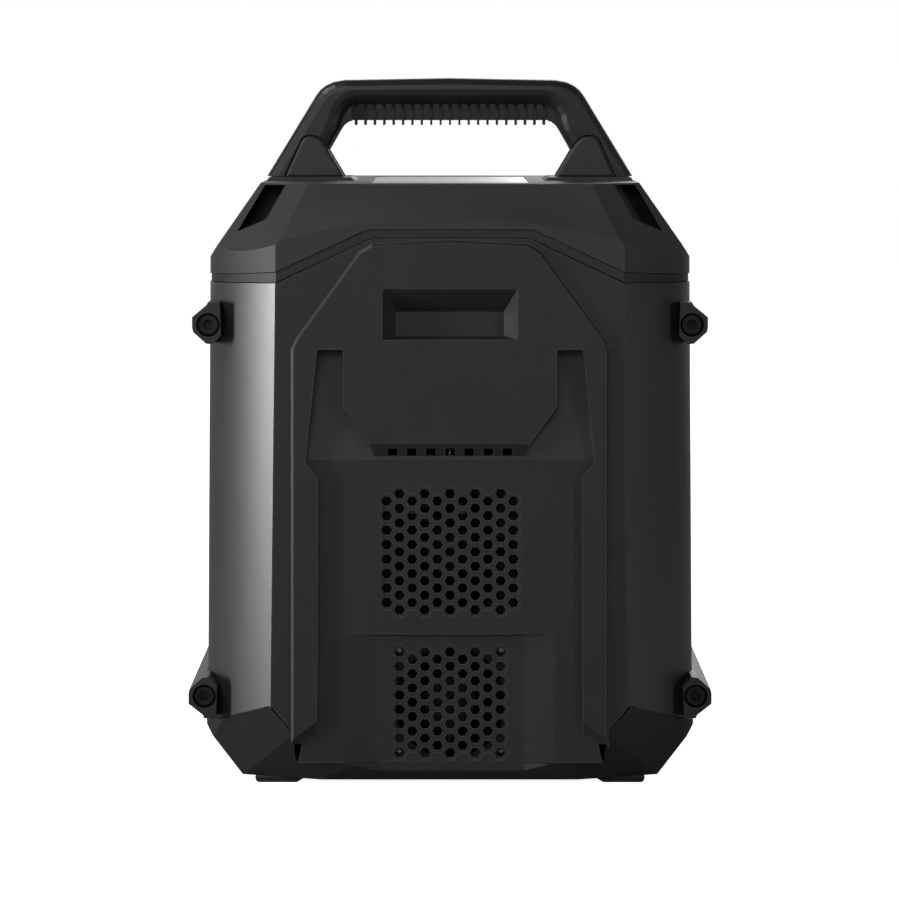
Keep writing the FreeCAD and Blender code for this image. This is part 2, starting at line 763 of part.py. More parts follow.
def ac_outlets():
    """Moulded inserts with three slots each."""
    inserts = []
    wide, tall = outlet_size
    slot_low, slot_high = blade_slot_span
    for x in outlet_xs:
        for z in outlet_zs:
            low, high = z - tall / 2, z + tall / 2
            body = box(x - wide / 2, x + wide / 2, plate_y - outlet_depth, plate_y - outlet_sink, low, high)
            upright = [e for e in body.Edges if abs(e.tangentAt(e.FirstParameter).y) > 0.9]
            body = body.makeFillet(outlet_corner, upright)
            front = plate_y
            back = front - outlet_slot_depth
            slots = [rod_y(earth_slot_radius, x, z - earth_slot_drop, back, front)]
            half = blade_slot_half
            for mid in (x - blade_slot_spread, x + blade_slot_spread):
                slots.append(box(mid - half, mid + half, back, front, z + slot_low, z + slot_high))
            inserts.append(body.cut(group(slots)))
    return group(inserts)


def outlet_contacts():
    contacts = []
    for x in outlet_xs:
        for z in outlet_zs:
            for mid in (x - blade_slot_spread, x + blade_slot_spread):
                contacts.append(block((mid, plate_y - contact_back, z + contact_rise), contact_size))
    return group(contacts)


def usb_ports(x, zs, size):
    ports = []
    wide, tall = size
    for z in zs:
        body = block((x, plate_y - 7.5, z), (wide, 13.0, tall))
        mouth = block((x, plate_y - 5.0, z), (wide - 1.4, 9.0, tall - 1.4))
        tongue = block((x, plate_y - 6.0, z), (wide - 3.4, 7.0, tall / 4))
        ports.append(body.cut(mouth).fuse(tongue))
    return group(ports)


def port_board():
    low, high = usb_c_zs[-1] - 8, usb_zs[0] + 8
    return box(usb_a_x - 12, usb_a_x + 12, plate_y - 14 - board_thick - 0.4, plate_y - 14.4, low, high)


def dc_ports():
    ports = []
    for z in dc_zs:
        body = ring_y(dc_radius, dc_radius - 2.4, dc_x, z, plate_y - 13.0, plate_y - 0.4)
        back = rod_y(dc_radius, dc_x, z, plate_y - 14.0, plate_y - 12.0)
        pin = rod_y(0.9, dc_x, z, plate_y - 13.0, plate_y - 3.0)
        ports.append(fuse_all([body, back, pin]))
    return group(ports)


def car_socket():
    x, z = car_center
    front = plate_y - 0.2
    liner = ring_y(car_radius, car_bore, x, z, front - car_depth, front)
    end = rod_y(car_radius, x, z, front - car_depth - 2, front - car_depth + 1)
    contact = rod_y(3.0, x, z, front - car_depth, front - car_depth + 3)
    return fuse_all([liner, end, contact])


def ac_inlet():
    x, z = inlet_center
    wide, tall = inlet_size
    body = box(x - wide / 2, x + wide / 2, plate_y - inlet_depth, plate_y - 0.6, z - tall / 2, z + tall / 2)
    shape = [(-12, -8.5), (12, -8.5), (12, 3), (7, 8.5), (-7, 8.5), (-12, 3)]
    mouth = prism_y([(x + dx, z + dz) for dx, dz in shape], plate_y - inlet_depth + 4, plate_y)
    return body.cut(mouth)


def inlet_pins():
    x, z = inlet_center
    places = [(-7, -2), (7, -2), (0, 3)]
    base = plate_y - inlet_depth + 4
    return group([block((x + dx, base + 7.0, z + dz), (2.0, 14.0, 4.0)) for dx, dz in places])


def light_lens():
    wide, tall = light_size
    lens = box(-wide / 2, wide / 2, front_wall_y - 1, plate_y + 0.8, light_z - tall / 2, light_z + tall / 2)
    front = [e for e in lens.Edges if e.BoundBox.YMin > plate_y]
    return lens.makeChamfer(0.7, front)


def light_board():
    wide, tall = light_size
    board = block((0, front_wall_y - 5.0, light_z), (wide + 4, board_thick, tall))
    lamps = [block((x * 14.0, front_wall_y - 3.4, light_z), (5.0, 1.8, 5.0)) for x in range(-4, 5)]
    return fuse_all([board] + lamps)


# Base

def body_outline_block(inset):
    """The curved corners of the body carried down to the floor."""
    shrink, grow = max(inset, 0.0), max(-inset, 0.0)
    reach = tray_face_y - face_y
    return body_solid(tray_bottom_z - wall, body_top_z, shrink, grow + reach)


def tray_block(inset=0.0):
    shape = box(-huge / 4, huge / 4, -tray_face_y + inset, tray_face_y - inset, tray_bottom_z + inset, 60)
    (y0, z0), (y1, z1) = tray_chamfer
    (x0, bevel_top), (x1, bevel_low) = tray_side_bevel
    for side in (1, -1):
        shape = trim(shape, (0, y0 * side, z0), (0, (z0 - z1) * side, y1 - y0), inset)
        shape = trim(shape, (x0 * side, 0, bevel_top), (side, 0, 0), inset)
        shape = trim(shape, (x0 * side, 0, bevel_top), ((bevel_top - bevel_low) * side, 0, x1 - x0), inset)
    shape = shape.common(body_outline_block(inset))
    shape = trim_corners(shape, bumper_facet, inset)
    return trim_corners(shape, bumper_apron, inset)


def base_tray():
    """Open tray: the inner hollow and the shells above it keep clear of the corner bumpers."""
    outer = tray_block().common(below_line(tray_line))
    floor_slab = box(-huge, huge, -huge, huge, -huge, tray_bottom_z + tray_wall)
    tray = outer.cut(tray_block(tray_wall).cut(floor_slab))
    side_y = plate_y - dock_floor[-1][0] - low_box_depth
    low_box = [(-low_box_outer_x, -tray_face_y - 1), (-low_box_inner_x, -side_y),
               (low_box_inner_x, -side_y), (low_box_outer_x, -tray_face_y - 1)]
    recess = Part.Face(closed_wire([vec(x, y, -5) for x, y in low_box])).extrude(vec(0, 0, 30))
    lip = box(-low_box_outer_x, low_box_outer_x, -side_y, -side_y + tray_wall, tray_bottom_z, tray_line[0][1])
    tray = tray.fuse(lip.common(tray_block())).cut(recess)
    low = tray_bottom_z - wall
    sink_z = tray_bottom_z + base_screw_sink
    holes = [rod_z(screw_head_radius + gap, x, y, low, sink_z) for x, y in base_screw_points()]
    inner_z = tray_bottom_z + 2 * tray_wall
    holes += [rod_z(foot_peg_radius + gap, x, y, low, inner_z) for x, y in foot_centers()]
    return tray.cut(group(holes)).removeSplitter()


def foot_centers():
    x = (foot_outline[0][0] + foot_outline[1][0]) / 2
    y = sum(foot_y) / 2
    return [(x * sx, y * sy) for sx in (1, -1) for sy in (1, -1)]


def rubber_feet():
    x, y = foot_centers()[0]
    pad = prism_y(foot_outline, -foot_y[1], -foot_y[0])
    peg = rod_z(foot_peg_radius, x, -y, foot_outline[3][1] - foot_peg_bite, tray_bottom_z + tray_wall)
    return group(four_corners(pad.fuse(peg)))


def base_screw_points():
    return [(x * sx, y * sy) for x, y in base_screw_spots for sx in (1, -1) for sy in (1, -1)]


def base_screws():
    low = tray_bottom_z + running_gap
    return group([rod_z(screw_head_radius, x, y, low, tray_bottom_z + base_screw_sink)
                  for x, y in base_screw_points()])


# Rails and screws

def right_rail(center, flip):
    x, z = center
    outline = [(x + dx, z + dz * flip) for dx, dz in rail_outline]
    bar = prism_y(outline, -rail_end_y, rail_end_y)
    bar = bar.cut(body_solid(body_low_z - 20, body_top_z + 10, 0.0, rail_body_gap))
    bar = bar.cut(tray_block(-rail_body_gap).common(below_line(tray_line, -rail_body_gap)))
    for sy in (1, -1):
        outer = rail_end_y * sy
        sink = (rail_end_y - head_sink - head_length) * sy
        bore = rod_y(head_bore_radius, x, z, min(outer, sink), max(outer, sink))
        tail = sink - shank_length * sy
        hole = rod_y(shank_radius, x, z, min(sink, tail), max(sink, tail))
        bar = bar.cut(bore).cut(hole)
    return max(bar.Solids, key=lambda solid: solid.Volume)


def rail_screws():
    screws = []
    for x, z in (upper_rail_center, lower_rail_center):
        top = -(rail_end_y - head_sink)
        head = rod_y(head_radius, x, z, top, top + head_length)
        rim = [e for e in head.Edges if e.BoundBox.YMax < top + 0.1]
        head = head.makeChamfer(0.8, rim)
        head = head.cut(hexagon(x, z, socket_flat, top - 1, top + socket_depth))
        shank = rod_y(shank_radius, x, z, top + head_length, top + head_length + shank_length)
        screws += four_corners(head.fuse(shank))
    return group(screws)


# Handle

def handle_bar():
    """One moulding whose legs stand behind the horns, rounded over broadly towards the hand opening."""
    bar = rounded_prism(both_halves(handle_outer), handle_half_depth, handle_round, handle_round_steps)
    bar = bar.common(box(-huge, huge, -huge, huge, handle_foot_z, huge))
    hole = prism_y(both_halves(handle_inner), -huge / 4, huge / 4)
    width, depth = handle_inner_round
    recess = both_halves(handle_recess)
    turns = [math.radians(90 * i / handle_round_steps) for i in range(handle_round_steps + 1)]
    floor_y = depth - handle_half_depth
    rims = [(inset_outline(recess, -width * (1 - math.sin(turn))), floor_y - depth * math.cos(turn))
            for turn in turns]
    bevel = loft_y([(rims[0][0], rims[0][1] - gap)] + rims)
    notch = prism_y(inset_outline(horn_outline, -horn_seam), -huge / 4, huge / 4)
    core = handle_core_depth
    notch = notch.cut(box(0, huge, -core, core, 0, huge))
    cuts = [hole, bevel, mirror_y(bevel), notch, mirror_x(notch)]
    for item in cuts:
        bar = bar.cut(item)
    return bar.cut(handle_bolt_rods(0, handle_foot_z + handle_bolt_reach)).removeSplitter()


def handle_grip():
    """A soft insert with thin fins below and a notch over each fin."""
    low, high = grip_z
    reach = grip_half_depth
    core = box(-grip_half_length, grip_half_length, -reach, reach, low + grip_fin, high)
    wide, deep, tall = grip_notch
    tip_y = reach + fin_proud
    fins = []
    notches = []
    for i in range(fin_total):
        x = (i - (fin_total - 1) / 2) * fin_pitch
        fins.append(box(x - fin_width / 2, x + fin_width / 2, -tip_y, tip_y, low, high - tall))
        notch = box(x - wide / 2, x + wide / 2, -tip_y, -reach + deep, high - tall, high + gap)
        notches += [notch, mirror_y(notch)]
    return fuse_all([core.cut(group(notches))] + fins)


def handle_bolt_rods(grow, top):
    rods = [rod_z(handle_bolt_radius + grow, x, y, deck_z - 2 * wall, top) for x, y in handle_bolt_spots]
    return group(rods + [mirror_x(item) for item in rods])


def handle_bolts():
    return handle_bolt_rods(0, handle_foot_z + handle_bolt_reach)


# Fans

def fan_span():
    return fan_front_y, fan_front_y + fan_depth


def fan_frame(size, mid):
    """Square frame with a round duct and a four-arm spider that carries the pin."""
    y0, y1 = fan_span()
    half = size / 2
    duct = half - fan_wall
    frame = box(-half, half, y0, y1, mid - half, mid + half)
    frame = frame.cut(rod_y(duct, 0, mid, y0, y1))
    back = y1 - fan_spider_thick
    arm = fan_spider_half
    tip = half - fan_wall / 2
    hub = rod_y(fan_hub_radius, 0, mid, back, y1)
    arms = [box(-tip, tip, back, y1, mid - arm, mid + arm),
            box(-arm, arm, back, y1, mid - tip, mid + tip)]
    pin = rod_y(fan_pin_radius, 0, mid, y0 + 6.0, y1)
    spot = half - fan_screw_inset
    frame = fuse_all([frame, hub, pin] + arms)
    holes = [rod_y(2.0, sx * spot, mid + sz * spot, y0, y1) for sx in (1, -1) for sz in (1, -1)]
    return frame.cut(group(holes))


def fan_rotor(size, mid):
    """Hub and pitched blades on a bore that runs on the frame's pin."""
    y0, y1 = fan_span()
    reach = size / 2 - fan_wall - blade_tip_gap
    thick, chord = blade_size
    hub = rod_y(fan_hub_radius, 0, mid, y0 + 2.0, y1 - 4.0)
    blades = []
    for i in range(blade_count):
        blade = block((reach / 2 + fan_hub_radius / 2 - 1, 0, 0), (reach - fan_hub_radius + 2, thick, chord))
        blade.rotate(vec(0, 0, 0), vec(1, 0, 0), blade_pitch_angle)
        blade.rotate(vec(0, 0, 0), vec(0, 1, 0), i * 360 / blade_count)
        blade.translate(vec(0, (y0 + y1) / 2 - 1.0, mid))
        blades.append(blade)
    limit = ring_y(reach, 1.0, 0, mid, y0 + 2.5, y1 - 4.5)
    rotor = fuse_all([hub] + [blade.common(limit) for blade in blades])
    return rotor.cut(rod_y(fan_pin_radius + running_gap, 0, mid, y0 + 5.0, y1))


def fan_screws():
    screws = []
    head_radius, head_tall = fan_screw_head
    for size, z in ((fan_upper_size, upper_grille_z), (fan_lower_size, lower_grille_z)):
        spot = size / 2 - fan_screw_inset
        y1 = fan_front_y + fan_depth
        for sx in (1, -1):
            for sz in (1, -1):
                head = rod_y(head_radius, sx * spot, z + sz * spot, y1, y1 + head_tall)
                shank = rod_y(fan_screw_radius, sx * spot, z + sz * spot, fan_front_y + fan_screw_front, y1)
                screws.append(head.fuse(shank))
    return group(screws)


# Battery

def cell_centers():
    xs = [(i - (cell_columns - 1) / 2) * cell_pitch for i in range(cell_columns)]
    ys = [cell_mid_y + (i - (cell_rows - 1) / 2) * cell_pitch for i in range(cell_rows)]
    return [(x, y) for x in xs for y in ys]


def cell_levels():
    first = battery_low_z + holder_thick
    return [first, first + cell_length + holder_thick]


def battery_cells():
    cells = []
    for low in cell_levels():
        for x, y in cell_centers():
            cells.append(rod_z(cell_radius, x, y, low, low + cell_length))
    return group(cells)


def cell_holders():
    """Three plates: under, between and over the two layers of cells."""
    half_x = cell_columns * cell_pitch / 2 + 1
    half_y = cell_rows * cell_pitch / 2 + 1
    plates = []
    for i in range(3):
        low = battery_low_z + i * (cell_length + holder_thick)
        plate_box = box(-half_x, half_x, cell_mid_y - half_y, cell_mid_y + half_y, low, low + holder_thick)
        plates.append(plate_box)
    return group(plates)


def busbars():
    """Nickel strips on the top holder, one per row."""
    top = battery_low_z + 3 * holder_thick + 2 * cell_length
    half_x = cell_columns * cell_pitch / 2 - 3
    strips = []
    for i in range(cell_rows):
        y = cell_mid_y + (i - (cell_rows - 1) / 2) * cell_pitch
        strips.append(box(-half_x, half_x, y - 8, y + 8, top, top + busbar_thick))
    return group(strips)


def bms_board():
    top = battery_low_z + 3 * holder_thick + 2 * cell_length + busbar_thick
    board = box(-70, 70, cell_mid_y - 34, cell_mid_y + 34, top, top + board_thick)
    chips = [box(x, x + 10, cell_mid_y - 5, cell_mid_y + 5, top + board_thick, top + board_thick + 2.5)
             for x in (-55, -25, 5, 35)]
    return fuse_all([board] + chips)


# Inverter

def shelf():
    """Sheet-metal shelf with four legs that stand on the tray floor."""
    y0, y1 = shelf_y
    plate_box = box(-shelf_half_x, shelf_half_x, y0, y1, shelf_z, shelf_z + shelf_thick)
    legs = []
    for sx in (1, -1):
        x0, x1 = sorted([sx * shelf_half_x, sx * (shelf_half_x + shelf_thick)])
        legs.append(box(x0, x1, y0 + 16, y1 - 16, tray_bottom_z + tray_wall, shelf_z + shelf_thick))
    window = box(-huge, huge, y0 + 40, y1 - 40, 30, shelf_z - 20)
    return fuse_all([plate_box] + legs).cut(window)


def standoff_points():
    y0, y1 = shelf_y
    return [(x, y) for x in (-104, 0, 104) for y in (y0 + 10, y1 - 10)]


def shelf_standoffs():
    top = shelf_z + shelf_thick
    return group([rod_z(standoff_radius, x, y, top, top + standoff_height) for x, y in standoff_points()])


def inverter_board():
    y0, y1 = shelf_y
    low = shelf_z + shelf_thick + standoff_height
    return box(-110, 110, y0 + 4, y1 - 4, low, low + board_thick)


def board_top():
    return shelf_z + shelf_thick + standoff_height + board_thick


def heatsinks():
    """Two finned blocks, one on each side of the board."""
    wide, long, tall = heatsink_size
    low = board_top()
    y0 = sum(shelf_y) / 2 - long / 2
    sinks = []
    pitch = wide / fin_count
    for side in (1, -1):
        x0 = side * 84 - wide / 2
        parts = [box(x0, x0 + wide, y0, y0 + long, low, low + 5)]
        for i in range(fin_count):
            fin_x = x0 + i * pitch + pitch / 4
            parts.append(box(fin_x, fin_x + pitch / 2, y0, y0 + long, low, low + tall))
        sinks.append(fuse_all(parts))
    return group(sinks)


def transformer_core():
    wide, long, tall = core_size
    low = board_top()
    y = sum(shelf_y) / 2 - 40
    core = box(-wide / 2, wide / 2, y - long / 2, y + long / 2, low, low + tall)
    window = box(-wide / 2 + 9, -8, y - long, y + long, low + 9, low + tall - 9)
    return core.cut(window).cut(mirror_x(window))


def transformer_winding():
    wide, long, tall = core_size
    low = board_top() + 10
    y = sum(shelf_y) / 2 - 40
    half = long / 2
    outer = box(-16, 16, y - half - 7, y + half + 7, low, low + tall - 20)
    inner = box(-8.2, 8.2, y - half - 0.2, y + half + 0.2, low - 1, low + tall)
    return outer.cut(inner)


def capacitors():
    low = board_top()
    y = shelf_y[1] - 22
    places = [(x, y - row) for x in (-42, -14, 14, 42) for row in (0, 28)]
    return group([rod_z(capacitor_radius, x, place, low, low + capacitor_height) for x, place in places])


def power_transistors():
    low = board_top()
    y_mid = sum(shelf_y) / 2
    parts = []
    for side in (1, -1):
        x0 = side * 62
        for i in range(4):
            y = y_mid + (i - 1.5) * 26
            parts.append(block((x0, y, low + 9), (4.6, 15.6, 18.0)))
    return group(parts)


def main():
    export("top_cap", top_cap())
    export("trim_ring", trim_ring())
    shell = right_side_shell()
    export("right_side_shell", shell)
    export("left_side_shell", mirror_x(shell))
    export("rear_panel", rear_panel())
    export("front_panel", front_panel())
    export("base_tray", base_tray())
    export("rubber_feet", rubber_feet())
    export("base_screws", base_screws())
    for name, center, flip in (("upper", upper_rail_center, 1), ("lower", lower_rail_center, -1)):
        bar = right_rail(center, flip)
        export(name + "_side_rails", group([bar, mirror_x(bar)]))
    export("rail_screws", rail_screws())
    export("handle_bar", handle_bar())
    export("handle_grip", handle_grip())
    export("handle_bolts", handle_bolts())
    export("top_pad", top_pad())
    fans = (("upper", fan_upper_size, upper_grille_z), ("lower", fan_lower_size, lower_grille_z))
    for name, size, z in fans:
        export(name + "_fan_frame", fan_frame(size, z))
        export(name + "_fan_rotor", fan_rotor(size, z))
    export("fan_screws", fan_screws())
    export("battery_cells", battery_cells())
    export("cell_holders", cell_holders())
    export("busbars", busbars())
    export("battery_management_board", bms_board())
    export("inverter_shelf", shelf())
    export("shelf_standoffs", shelf_standoffs())
    export("inverter_board", inverter_board())
    export("heatsinks", heatsinks())
    export("transformer_core", transformer_core())
    export("transformer_winding", transformer_winding())
    export("capacitors", capacitors())
    export("power_transistors", power_transistors())
    export("display_lens", display_lens())
    export("display_board", display_board())
    for name, x in zip(("power", "ac", "dc", "light"), button_xs):
        export(name + "_button", button(x))
    export("button_board", button_board())
    export("ac_outlets", ac_outlets())
    export("outlet_contacts", outlet_contacts())
    export("usb_a_ports", usb_ports(usb_a_x, usb_zs, usb_a_size))
    export("usb_c_ports", usb_ports(usb_c_x, usb_c_zs, usb_c_size))
    export("port_board", port_board())
    export("dc_ports", dc_ports())
    export("car_socket", car_socket())
    export("car_socket_cover", cover(car_center, car_cover_size))
    export("ac_inlet", ac_inlet())
    export("inlet_pins", inlet_pins())
    export("ac_inlet_cover", cover(inlet_center, inlet_cover_size))
    pins = [hinge_pin(car_center, car_cover_size), hinge_pin(inlet_center, inlet_cover_size)]
    export("hinge_pins", group(pins))
    export("light_lens", light_lens())
    export("light_board", light_board())


main()
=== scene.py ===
import json
import math
import bmesh
import bpy
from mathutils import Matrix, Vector


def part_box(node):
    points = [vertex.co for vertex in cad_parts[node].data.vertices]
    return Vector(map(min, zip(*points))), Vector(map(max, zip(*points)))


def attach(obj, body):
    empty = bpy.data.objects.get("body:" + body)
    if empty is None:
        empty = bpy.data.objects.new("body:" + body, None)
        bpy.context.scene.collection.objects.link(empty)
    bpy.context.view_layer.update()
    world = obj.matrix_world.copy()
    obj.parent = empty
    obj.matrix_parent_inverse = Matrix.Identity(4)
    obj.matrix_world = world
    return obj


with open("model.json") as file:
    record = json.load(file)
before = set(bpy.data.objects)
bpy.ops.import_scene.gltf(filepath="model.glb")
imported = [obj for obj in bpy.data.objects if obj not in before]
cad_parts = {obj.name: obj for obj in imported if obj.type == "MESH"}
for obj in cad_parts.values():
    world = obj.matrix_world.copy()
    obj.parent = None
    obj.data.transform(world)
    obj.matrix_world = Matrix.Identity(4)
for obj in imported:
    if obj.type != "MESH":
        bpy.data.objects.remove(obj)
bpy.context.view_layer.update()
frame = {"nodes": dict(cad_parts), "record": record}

nodes = frame["nodes"]
print("frame loaded:", len(nodes), "pieces")


def newMaterial(name):
    material = bpy.data.materials.new(name)
    material.use_nodes = True
    tree = material.node_tree
    tree.nodes.clear()
    shader = tree.nodes.new("ShaderNodeBsdfPrincipled")
    output = tree.nodes.new("ShaderNodeOutputMaterial")
    output.location = (300, 0)
    tree.links.new(shader.outputs["BSDF"], output.inputs["Surface"])
    return material, tree, shader


def addNoise(tree, scale, detail=2.0, roughness=0.5, stretch=(1, 1, 1)):
    place = tree.nodes.new("ShaderNodeTexCoord")
    mapping = tree.nodes.new("ShaderNodeMapping")
    mapping.inputs["Scale"].default_value = stretch
    noise = tree.nodes.new("ShaderNodeTexNoise")
    noise.inputs["Scale"].default_value = scale
    noise.inputs["Detail"].default_value = detail
    noise.inputs["Roughness"].default_value = roughness
    tree.links.new(place.outputs["Object"], mapping.inputs["Vector"])
    tree.links.new(mapping.outputs["Vector"], noise.inputs["Vector"])
    return noise


def addRange(tree, source, low, high, fromLow=0.3, fromHigh=0.7):
    spread = tree.nodes.new("ShaderNodeMapRange")
    spread.inputs["From Min"].default_value = fromLow
    spread.inputs["From Max"].default_value = fromHigh
    spread.inputs["To Min"].default_value = low
    spread.inputs["To Max"].default_value = high
    tree.links.new(source, spread.inputs["Value"])
    return spread.outputs["Result"]


def mixColours(tree, share, first, second):
    mix = tree.nodes.new("ShaderNodeMix")
    mix.data_type = "RGBA"
    mix.inputs["A"].default_value = (*first, 1)
    mix.inputs["B"].default_value = (*second, 1)
    tree.links.new(share, mix.inputs["Factor"])
    return mix.outputs["Result"]


def edgeMask(tree, radius):
    # white where the rounded normal differs from the true one: edges and corners
    bevel = tree.nodes.new("ShaderNodeBevel")
    bevel.samples = 4
    bevel.inputs["Radius"].default_value = radius
    geometry = tree.nodes.new("ShaderNodeNewGeometry")
    dot = tree.nodes.new("ShaderNodeVectorMath")
    dot.operation = "DOT_PRODUCT"
    tree.links.new(bevel.outputs["Normal"], dot.inputs[0])
    tree.links.new(geometry.outputs["Normal"], dot.inputs[1])
    return addRange(tree, dot.outputs["Value"], 1.0, 0.0, 0.86, 0.995)


def addBump(tree, shader, height, strength, distance, under=None):
    bump = tree.nodes.new("ShaderNodeBump")
    bump.inputs["Strength"].default_value = strength
    bump.inputs["Distance"].default_value = distance
    tree.links.new(height, bump.inputs["Height"])
    if under:
        tree.links.new(under, bump.inputs["Normal"])
    tree.links.new(bump.outputs["Normal"], shader.inputs["Normal"])
    return bump.outputs["Normal"]


def mouldedFinish(name, look):
    # black or grey moulded plastic: spark-eroded grain, slow drift of tone, and edges painted paler as a
    # painted highlight
    material, tree, shader = newMaterial(name)
    grain = addNoise(tree, look["grainScale"], 3.0, 0.6)
    drift = addNoise(tree, look.get("driftScale", 22), 3.0, 0.55)
    tone = mixColours(tree, addRange(tree, drift.outputs["Fac"], 0, 1), look["dark"], look["light"])
    # painted highlight: edges and corners mix towards a paler tone, standing in for light caught on the
    # rounded edges
    edge = edgeMask(tree, look.get("edgeWidth", 0.0006))
    paintedEdgeHighlight = tree.nodes.new("ShaderNodeMix")
    paintedEdgeHighlight.data_type = "RGBA"
    tree.links.new(addRange(tree, edge, 0, look.get("edgeTone", 0.35), 0, 1), paintedEdgeHighlight.inputs["Factor"])
    tree.links.new(tone, paintedEdgeHighlight.inputs["A"])
    lift = look.get("edgeLift", 2.6)
    paintedEdgeHighlight.inputs["B"].default_value = (*[min(1, value * lift + 0.012) for value in look["light"]], 1)
    speck = tree.nodes.new("ShaderNodeMix")
    speck.data_type = "RGBA"
    specks = addRange(tree, grain.outputs["Fac"], 0, look.get("speckle", 0.25), 0.5, 0.75)
    tree.links.new(specks, speck.inputs["Factor"])
    tree.links.new(paintedEdgeHighlight.outputs["Result"], speck.inputs["A"])
    speck.inputs["B"].default_value = (*[value * 2.2 for value in look["light"]], 1)
    tree.links.new(speck.outputs["Result"], shader.inputs["Base Color"])
    rough = addRange(tree, grain.outputs["Fac"], look["rough"] - 0.05, look["rough"] + 0.07)
    tree.links.new(rough, shader.inputs["Roughness"])
    shader.inputs["Specular IOR Level"].default_value = look.get("specular", 0.5)
    shader.inputs["Metallic"].default_value = look.get("metallic", 0.0)
    addBump(tree, shader, grain.outputs["Fac"], look["grainDepth"], look.get("grainHeight", 0.00012))
    return material


def rubberFinish(name, look):
    material, tree, shader = newMaterial(name)
    grain = addNoise(tree, look["grainScale"], 4.0, 0.7)
    dust = addNoise(tree, 60, 4.0, 0.6)
    dustShare = addRange(tree, dust.outputs["Fac"], 0, 1, 0.35, 0.75)
    tone = mixColours(tree, dustShare, look["dark"], look["light"])
    tree.links.new(tone, shader.inputs["Base Color"])
    rough = addRange(tree, dust.outputs["Fac"], look["rough"] - 0.06, look["rough"] + 0.08)
    tree.links.new(rough, shader.inputs["Roughness"])
    shader.inputs["Specular IOR Level"].default_value = 0.35
    shader.inputs["Sheen Weight"].default_value = 0.08
    shader.inputs["Sheen Roughness"].default_value = 0.5
    addBump(tree, shader, grain.outputs["Fac"], 0.35, 0.00015)
    return material


def metalFinish(name, look):
    # drawn or plated metal: fine directional scratches over a slow stain
    material, tree, shader = newMaterial(name)
    scratch = addNoise(tree, look.get("scratchScale", 500), 4.0, 0.6, look.get("stretch", (1, 0.06, 1)))
    stain = addNoise(tree, 45, 3.0, 0.5)
    tone = mixColours(tree, addRange(tree, stain.outputs["Fac"], 0, 1), look["dark"], look["light"])
    tree.links.new(tone, shader.inputs["Base Color"])
    shader.inputs["Metallic"].default_value = look.get("metallic", 1.0)
    rough = addRange(tree, scratch.outputs["Fac"], look["rough"] - 0.08, look["rough"] + 0.12)
    tree.links.new(rough, shader.inputs["Roughness"])
    addBump(tree, shader, scratch.outputs["Fac"], 0.12, 0.00005)
    return material


def glossFinish(name, look):
    # polished moulding: clear coat over a deep colour, with faint orange peel and smears
    material, tree, shader = newMaterial(name)
    peel = addNoise(tree, look.get("peelScale", 160), 2.0, 0.5)
    smear = addNoise(tree, 18, 5.0, 0.65)
    tone = mixColours(tree, addRange(tree, smear.outputs["Fac"], 0, 1), look["dark"], look["light"])
    tree.links.new(tone, shader.inputs["Base Color"])
    rough = addRange(tree, smear.outputs["Fac"], look["rough"], look["rough"] + 0.12)
    tree.links.new(rough, shader.inputs["Roughness"])
    shader.inputs["Coat Weight"].default_value = look.get("coat", 0.6)
    shader.inputs["Coat Roughness"].default_value = look.get("coatRough", 0.08)
    addBump(tree, shader, peel.outputs["Fac"], look.get("peel", 0.04), 0.0002)
    return material


def boardFinish(name, look):
    # solder mask with copper tracks showing through as lighter green lines
    material, tree, shader = newMaterial(name)
    place = tree.nodes.new("ShaderNodeTexCoord")
    tracks = tree.nodes.new("ShaderNodeTexBrick")
    tracks.inputs["Scale"].default_value = look["trackScale"]
    tracks.inputs["Mortar Size"].default_value = 0.012
    tracks.inputs["Color1"].default_value = (*look["dark"], 1)
    tracks.inputs["Color2"].default_value = (*look["mid"], 1)
    tracks.inputs["Mortar"].default_value = (*look["light"], 1)
    tree.links.new(place.outputs["Object"], tracks.inputs["Vector"])
    tree.links.new(tracks.outputs["Color"], shader.inputs["Base Color"])
    haze = addNoise(tree, 90, 3.0, 0.5)
    tree.links.new(addRange(tree, haze.outputs["Fac"], 0.25, 0.42), shader.inputs["Roughness"])
    addBump(tree, shader, tracks.outputs["Fac"], 0.3, 0.00006)
    return material


def sleeveFinish(name, look):
    # shrink sleeve: slight wrinkles along the cell
    material, tree, shader = newMaterial(name)
    wrinkle = addNoise(tree, 70, 3.0, 0.6, (1, 1, 0.15))
    tone = mixColours(tree, addRange(tree, wrinkle.outputs["Fac"], 0, 1), look["dark"], look["light"])
    tree.links.new(tone, shader.inputs["Base Color"])
    rough = addRange(tree, wrinkle.outputs["Fac"], look["rough"], look["rough"] + 0.1)
    tree.links.new(rough, shader.inputs["Roughness"])
    addBump(tree, shader, wrinkle.outputs["Fac"], 0.3, 0.0003)
    return material


def glowFinish(name, look):
    material, tree, shader = newMaterial(name)
    haze = addNoise(tree, 120, 2.0, 0.5)
    tone = mixColours(tree, addRange(tree, haze.outputs["Fac"], 0, 1), look["dark"], look["light"])
    tree.links.new(tone, shader.inputs["Base Color"])
    tree.links.new(addRange(tree, haze.outputs["Fac"], 0.3, 0.4), shader.inputs["Roughness"])
    shader.inputs["Emission Color"].default_value = (*look["glow"], 1)
    shader.inputs["Emission Strength"].default_value = look["strength"]
    addBump(tree, shader, haze.outputs["Fac"], 0.1, 0.0001)
    return material


